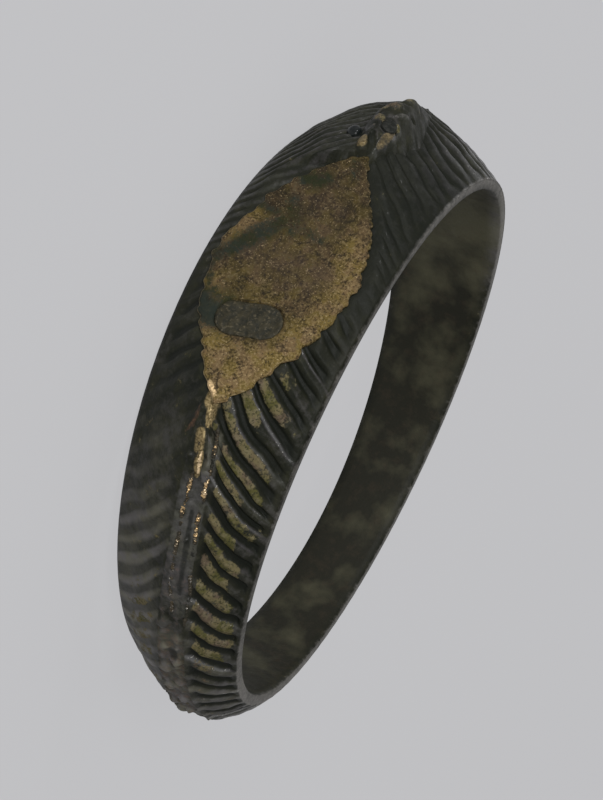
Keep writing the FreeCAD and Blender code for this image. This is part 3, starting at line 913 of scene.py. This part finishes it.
def makeField():
    # Rings across the field: over the top from the left border to the right one, back underneath.
    # The head's end is skewed, so each ring's reach shifts with z there.
    headEnd, foot = -ring["headReach"], fieldLook["right"][-1][0]
    reaches = np.linspace(headEnd - 1.1, foot, 600)
    left, right = (fieldBorder(reaches, name) for name in ("left", "right"))
    right = np.maximum(right, left + 0.02)
    along = np.linspace(0, 1, fieldLook["steps"])[:, None]
    across = np.linspace(0, 1, fieldLook["rows"])[None]
    base = headEnd + (foot - headEnd) * along + 0 * across
    reach = base
    for attempt in range(10):
        low, high = np.interp(reach, reaches, left), np.interp(reach, reaches, right)
        z = low + (high - low) * across
        reach = base - skew * z * (1 - along) ** 3
    points = onField(reach, z, 0 * reach)
    pits = np.clip(waves(points, 0.55, 41) - 1.1, 0, 2)
    edge = 1 - ease(np.minimum(z - low, high - z), 0, 0.09)
    inside = 1 - ease(inFill(reach, z), -0.03, 0.05)
    height = bumps(points, *fieldLook["relief"]) - 0.025 * pits - 0.11 * inside
    height = height - fieldLook["rounding"] * edge ** 2 * 1.2
    sag = 0.02 * np.logaddexp(0, -(castingHeight(reach, z) + 0.02) / 0.02)
    height = height - fieldLook["sagMost"] * (1 - np.exp(-sag / fieldLook["sagMost"]))
    ends = within(along, 0, 0.006, 0.994, 1)
    top = onField(reach, z, height - 0.03 * (1 - ends))
    under = onField(reach, z, np.minimum(height - 0.04, -fieldLook["thickness"]))
    stain = most(*(strength * strokeOn(reach, z, *where, 0.2, 0.95) for strength, *where in stains))
    bright, dull, glow = (sum(strength * strokeOn(reach, z, *where) for strength, *where in fieldLook[name])
                          for name in ("bright", "dull", "glow"))
    bright = bright + steps(reach, 0.2, (0.18, -3.0, -0.4), (0.5, 2.8, 3.6))
    bright = bright + 0.58 * ease(high - z, 1.3, 0.35) * ease(reach, -3.5, -0.5)
    edgeMark = edge * np.where(z < (low + high) / 2, 0.9, 0.6)
    marks = dict(stain=stain, bright=bright, dull=dull, edge=edgeMark, glow=glow)
    addShell("field_facing", top, under, marks, materials["alloy"], "bare_alloy", "bezel_plate")


def makeFill():
    # Rings across the round-ended bar, from its upper end to its foot: a flat dish between
    # rounded edges, a little under the facing.
    half = fillLook["width"] / 2 - fillLook["inset"]
    eased = (1 - np.cos(np.linspace(0.02, np.pi - 0.02, fillLook["rows"]))) / 2
    along = (eased * (fillLook["length"] + 2 * half) - half)[:, None]
    past = most(-along, along - fillLook["length"], 0)
    wide = np.sqrt(np.clip(half ** 2 - past ** 2, 0.01 ** 2, None))
    offset = wide * np.sin(np.linspace(-np.pi / 2, np.pi / 2, fillLook["columns"]))[None]
    reach = fillLook["reach"] + along * slantSine + offset * slantCosine
    z = fillLook["rise"] - along * slantCosine + offset * slantSine
    relief = bumps(onField(reach, z, 0 * reach), *fillLook["relief"])
    inside = -inFill(reach, z)
    height = relief - fillLook["sunk"] + 0.02 * ease(inside, 0, 0.12) - 0.03 * (1 - ease(inside, 0, 0.04))
    top = onField(reach, z, height)
    under = onField(reach, z, 0 * reach - fillLook["depth"])
    addShell("field_fill", top, under, {}, materials["fill"], "dark_fill", "bezel_fill")


makeField()
makeFill()

# The head's tops and half widths, as shares, at some turns back from the bezel, and the sizes of
# its section.
head = dict(
    turns=(16.5, 21, 26, 31, 38, 50),
    heights=(0.76, 0.84, 0.94, 1.0, 0.9, 0.6), widths=(0.34, 0.62, 0.92, 1.0, 0.86, 0.34),
    height=2.62, half=1.35, offset=0.08, cheekDrop=0.66, cheekShare=0.54, root=0.9, lip=0.25,
    muzzleSlope=1.1, muzzleRadius=10.8, ribs=0.11, ribsFrom=0.42, span=(-13.5, -24, -56),
    rows=(125, 176), sides=(-1.75, 1.85), columns=150, sunkTurns=(-56, -50),
    sunkSides=(-1.75, -1.6, 1.7, 1.85), relief=((0.012, 0.5, 61), (0.02, 1.1, 62)))
eye = dict(
    radius=0.27, depth=0.35,
    left=dict(turn=-23.3, height=0.732, side=-0.47, aim=(0.72, 0.3, -0.5), dome=0.2, seed=71),
    right=dict(turn=-25.8, height=0.885, side=0.25, aim=(0.94, 0.2, 0.28), dome=0.04, seed=81))

# Strokes of the carving on the head: turn and z of each end, half width, height, and how much it
# narrows towards both ends.
carving = dict(
    wedgeLeft=(-21.0, -0.13, -19.5, -0.03, 0.19, 0.10, 0.1),
    wedgeRight=(-25.6, 0.56, -20.9, 0.42, 0.13, 0.08, 0.6),
    channel=(-22.6, 0.06, -19.2, 0.31, 0.13, -0.09, 0.3),
    crescent=(-17.3, -0.4, -18.0, 0.3, 0.08, -0.10, 0.3),
    snout=(-26.6, -0.2, -25.5, 0.10, 0.17, 0.10, 0.2),
    snoutSide=(-24.3, -0.1, -23.1, -0.16, 0.11, 0.07, 0.3),
    bar=(-29.2, -0.28, -30.8, 0.24, 0.18, 0.10, 0.5),
    diamond=(-28.2, -0.36, -28.0, -0.42, 0.13, -0.10, 0.0),
    dash=(-27.9, 0.32, -30.8, 0.54, 0.07, 0.05, 0.5),
    spot=(-27.3, 0.56, -26.9, 0.58, 0.09, 0.04, 0.0),
    crown=(-35.3, 0.2, -36.2, 0.3, 0.2, 0.10, 0.0),
    brow=(-33.0, -0.4, -33.6, 0.2, 0.12, -0.08, 0.3),
    pit=(-32.2, 0.58, -32.6, 0.6, 0.09, -0.12, 0.0))
# how thick earth and gold lie on the carved figures
earthOn = dict(snout=0.62, bar=0.72, snoutSide=0.5, spot=0.55, wedgeLeft=0.45, crown=0.5)
goldOn = dict(wedgeLeft=0.68, wedgeRight=0.55)


def eyeFrame(name):
    # middle of an eye, the way that it looks, and two directions square to that
    look = eye[name]
    middle = place(look["turn"], bore + head["height"] * look["height"], head["half"] * look["side"])
    angle = math.radians(look["turn"])
    out, along, up = look["aim"]
    axis = place(look["turn"], out, up) + along * np.array([math.cos(angle), math.sin(angle), 0])
    axis /= np.linalg.norm(axis)
    first = np.cross(axis, [0, 0, 1])
    first /= np.linalg.norm(first)
    return middle, axis, first, np.cross(axis, first)


eyes = {name: eyeFrame(name) for name in ("left", "right")}


def stroke(turn, z, name):
    startTurn, startZ, endTurn, endZ, half, height, narrow = carving[name]
    scale = math.radians(1) * (bore + head["height"])
    return strokeOn(turn * scale, z, (startTurn * scale, startZ), (endTurn * scale, endZ), half, narrow)


def headSection(turns, z):
    # radius of the arched sections: top - a * side^2 - b * side^4, where side is 1 at the half
    # width; the top and the half width follow the turn, and the muzzle slopes down to the field
    heights, widths = (soften(np.interp(-turns[:, 0], head["turns"], head[name]), 6)[:, None]
                       for name in ("heights", "widths"))
    top = head["height"] * heights
    drop = top - head["root"]
    cheek = head["cheekShare"]
    squared = (head["cheekDrop"] * widths - cheek ** 4 * drop) / (cheek ** 2 - cheek ** 4)
    side = np.clip((z - head["offset"]) / (head["half"] * widths), -1.05, 1.05)
    radius = bore + top - squared * side ** 2 - (drop - squared) * side ** 4
    radius = np.maximum(radius, bore + head["root"] - 0.35)
    swing = np.radians(turns - ring["facetTurn"])
    behind = np.clip(-ring["headReach"] - skew * z - head["muzzleRadius"] * np.sin(swing), 0, 9)
    slope = (facetRadius + head["lip"] + head["muzzleSlope"] * behind) / np.cos(swing)
    return side, radius, radius - 0.06 * np.logaddexp(0, (radius - slope) / 0.06)


def soften2d(values, width):
    # running mean along both ways of a grid
    for axis in (0, 1):
        values = np.apply_along_axis(soften, axis, values, width)
    return values


def makeHead():
    # Height field over turn and z: the arched sections, then the carving, ribs on the cheeks and
    # the eye sockets. Its border is sunk in the hoop.
    start, joint, end = head["span"]
    denseRows, plainRows = head["rows"]
    turns = np.concatenate([np.linspace(start, joint, denseRows),
                            np.linspace(joint, end, plainRows)[1:]])[:, None]
    z = np.linspace(*head["sides"], head["columns"])[None]
    turn = turns + 0 * z
    side, arch, radius = headSection(turns, z)
    points = place(turn, arch, z)
    stroked = {name: stroke(turn, z, name) for name in carving}
    for name, shape in carving.items():
        radius = radius + shape[5] * stroked[name]
    cheek = ease(np.abs(side), head["ribsFrom"], head["ribsFrom"] + 0.3)
    groove = 0 * turn
    for flank in (-1, 1):
        foot, share = footUnder(turn, z, flank)
        here = ribProfile(foot, turn, share, flank)[0]
        groove = np.where(flank * (z - head["offset"]) >= 0, here * cheek, groove)
    radius = radius - head["ribs"] * groove
    socket = 0 * turn
    size = eye["radius"]
    for middle, axis, first, second in eyes.values():
        away = points - middle
        far = np.hypot(away @ first, away @ second)
        inFront = ease(away @ axis, -0.9, -0.5)
        socket = np.maximum(socket, inFront * bell(far, size + 0.05, 0.06))
        hole = 0.05 * bell(far, size + 0.04, 0.07) + 0.42 * (1 - ease(far, size - 0.05, size + 0.03))
        radius = radius - hole * inFront
    radius = underField(turn, radius + bumps(points, *head["relief"]), z, facetRadius - 0.05)
    border = ease(turns, *head["sunkTurns"]) * within(z, *head["sunkSides"])
    radius = rimRadius + (radius - rimRadius) * border
    gold, crust = (most(*(amount * stroked[name] for name, amount in table.items()))
                   for table in (goldOn, earthOn))
    relief = 12 * (radius - soften2d(radius, 9))
    upper = z > head["offset"]
    dark = most(np.clip(-relief - 0.1, 0, 1), 0.7 * stroked["channel"], 0.7 * stroked["crescent"], socket,
                0.8 * stroked["diamond"], 0.6 * cheek * upper)
    # the sheen mark paints sheen and highlight, over wear from rubbing, on raised relief and on the lower
    # cheek; the upper cheek is darker
    sheen = np.clip(0.2 + relief * 0.7 + np.where(upper, 0.0, 0.5) * cheek * (1 - groove), 0, 0.6)
    sheen = sheen * (1 - 0.8 * ease(turn, -20.5, -18.5))
    marks = allMarks(turn, groove=dark * (1 - gold), sheen=sheen, crust=crust, rust=0.3 * stroked["snout"],
                     rim=0.55 * stroked["dash"], gold=gold)
    under = place(turn, rimRadius - 0.1 + 0 * radius, z)
    addShell("head_carving", place(turn, radius, z), under, marks, materials["patina"], "dark_patina")


def revolve(profile, name):
    # rings of (radius, height) points round an eye's axis, with a seeded unevenness
    middle, axis, first, second = eyes[name]
    angle = np.linspace(0, 2 * np.pi, 97)[None, :-1, None]
    radius, height = profile[:, 0, None, None], profile[:, 1, None, None]
    rings = middle + radius * (np.cos(angle) * first + np.sin(angle) * second) + height * axis
    uneven = bumps(rings, (0.008, 0.32, eye[name]["seed"]))[..., None]
    return rings + uneven * axis * (radius > 0.02)


def makeBead(name):
    # half an ellipse carried round the eye's axis, over a short stem in the socket
    out = np.linspace(0, 1, 26)
    radius = 0.002 + (eye["radius"] - 0.005) * out
    dome = eye[name]["dome"] * np.sqrt(np.clip(1 - out ** 2, 0, 1))
    stem = 0 * out - eye["depth"]
    profile = np.concatenate([np.stack([radius, dome], -1), np.stack([radius[::-1], stem], -1)])
    addPiece("eye_bead_skin_" + name, revolve(profile, name), {}, materials[name],
             "dark_glass", "eye_bead_" + name)


makeHead()
makeBead("left")
makeBead("right")

# The two beaded lines: turn and z along each, and how golden they are at those turns.
wire = dict(
    turns=(37, 78), radius=0.085, grain=0.095, stepsPerGrain=6, sides=16, sink=0.10, height=1.6,
    left=dict(turns=(37, 40, 43, 46.5, 50, 53, 56, 60, 64, 70, 73, 78), seed=91,
              z=(-0.1, 0.0, 0.15, 0.08, 0.12, 0.03, 0.02, 0.02, 0.03, 0.09, 0.2, 0.26),
              worn=(0.1, 0.2, 0.5, 0.5, 0.85, 0.75, 0.15, 0.3, 0.1, 0.4, 0.3, 0.1)),
    right=dict(turns=(37, 40.5, 43.5, 47, 49, 51, 53.8, 55.5, 57.5, 61, 65, 70.5, 75.5, 78), seed=95,
               z=(0.48, 0.6, 0.66, 0.6, 0.65, 0.65, 0.64, 0.58, 0.58, 0.62, 0.7, 0.74, 0.73, 0.68),
               worn=(0.1, 0.4, 0.1, 0.85, 0.85, 0.15, 0.7, 0.1, 0.6, 0.1, 0.3, 0.1, 0.4, 0.1)))


def makeWire(name):
    # Granules in a row: the tube's radius is radius * (0.74 + 0.26 * |sin| ^ 0.7) along its length,
    # and each granule has its own seeded size. It is sunk in the ridge, less where it is worn.
    line = wire[name]
    seed = line["seed"]
    start, end = wire["turns"]
    grains = int(math.radians(end - start) * (bore + wire["height"]) / wire["grain"])
    along = np.linspace(0, 1, grains * wire["stepsPerGrain"] + 1)
    turn = start + (end - start) * along
    random = np.random.default_rng(seed)
    size = random.uniform(0.75, 1.1, grains + 1)[np.minimum((along * grains).astype(int), grains)]
    notch = np.abs(np.sin(np.pi * along * grains)) ** 0.7
    fade = 0.25 + 0.75 * within(along, 0, 0.03, 0.94, 1.0)
    lineZ, worn = (np.interp(turn, line["turns"], line[key]) for key in ("z", "worn"))
    worn = np.clip(worn + bumps(place(turn, bore, lineZ), (0.2, 0.5, seed + 2)), 0, 1)
    thick = (wire["radius"] * fade * (0.74 + 0.26 * notch) * size * (0.75 + 0.4 * worn))[:, None, None]
    spine = place(turn, bore + ridgeHeight(turn) + wire["radius"] - wire["sink"] * (1.3 - 0.6 * worn), lineZ)
    spine[:, 2] += bumps(spine, (0.015, 0.9, seed + 1))
    angle = np.linspace(0, 2 * np.pi, wire["sides"] + 1)[None, :-1, None]
    outward = place(turn, np.ones_like(turn), 0 * turn)[:, None]
    rings = spine[:, None] + thick * (np.cos(angle) * outward + np.sin(angle) * np.array([0, 0, 1]))
    rings = rings + bumps(rings, (0.014, 0.11, seed + 3), (0.010, 0.3, seed + 4))[..., None] * outward
    marks = dict(worn=np.clip(np.cos(angle[..., 0]) + 0.3, 0, 1) * worn[:, None],
                 silver=ease(turn, 58, 64)[:, None])
    addPiece("ridge_wire_" + name, rings, marks, materials["wire"], "worn_wire", "spine_wire_" + name)


makeWire("left")
makeWire("right")

stage = dict(size=1.6, grey=(0.565, 0.565, 0.58, 1), seen=0.85, room=0.6)
lamps = dict(
    key=dict(way=(0.30, -0.85, 0.42), distance=0.24, size=0.09, watts=0.26),
    spark=dict(way=(-0.40, -0.90, 0.20), distance=0.24, size=0.03, watts=0.10),
    back=dict(way=(-0.6, 0.5, 0.6), distance=0.26, size=0.14, watts=0.06))


def paleFloor():
    # matt, but camera, glossy and transmission rays see most of it as an even glow, so that metal
    # and glass show the pale background too
    paint = Paint("paleFloor", {})
    rays = paint.node("ShaderNodeLightPath", {}, {}).outputs
    seen = paint.maths("MAXIMUM", rays["Is Camera Ray"], rays["Is Glossy Ray"])
    seen = paint.maths("MAXIMUM", seen, rays["Is Transmission Ray"]) * stage["seen"]
    matt, glow = (paint.node(kind, {}, {"Color": stage["grey"]}).outputs[0]
                  for kind in ("ShaderNodeBsdfDiffuse", "ShaderNodeEmission"))
    mixed = paint.node("ShaderNodeMixShader", {}, {0: seen, 1: matt, 2: glow})
    paint.node("ShaderNodeOutputMaterial", {}, {"Surface": mixed.outputs[0]})
    return paint.material


def makeStage():
    low = cadBox[0][2]
    half = stage["size"] / 2
    corners = [(-half, -half, low), (half, -half, low), (half, half, low), (-half, half, low)]
    mesh = bpy.data.meshes.new("floor")
    mesh.from_pydata(corners, [], [(0, 1, 2, 3)])
    mesh.materials.append(paleFloor())
    floor = addObject("floor", mesh)
    world = bpy.data.worlds.new("softRoom")
    world.use_nodes = True
    room = world.node_tree.nodes["Background"].inputs
    room["Color"].default_value = stage["grey"]
    room["Strength"].default_value = stage["room"]
    bpy.context.scene.world = world
    for name, lamp in lamps.items():
        data = bpy.data.lights.new(name, "AREA")
        data.shape = "DISK"
        data.size = lamp["size"]
        data.energy = lamp["watts"]
        way = np.array(lamp["way"]) / np.linalg.norm(lamp["way"])
        standAt(name, data, *levelWays(way), way, way * lamp["distance"])


makeStage()
bpy.context.scene.view_settings.view_transform = "Standard"
print("stage set")
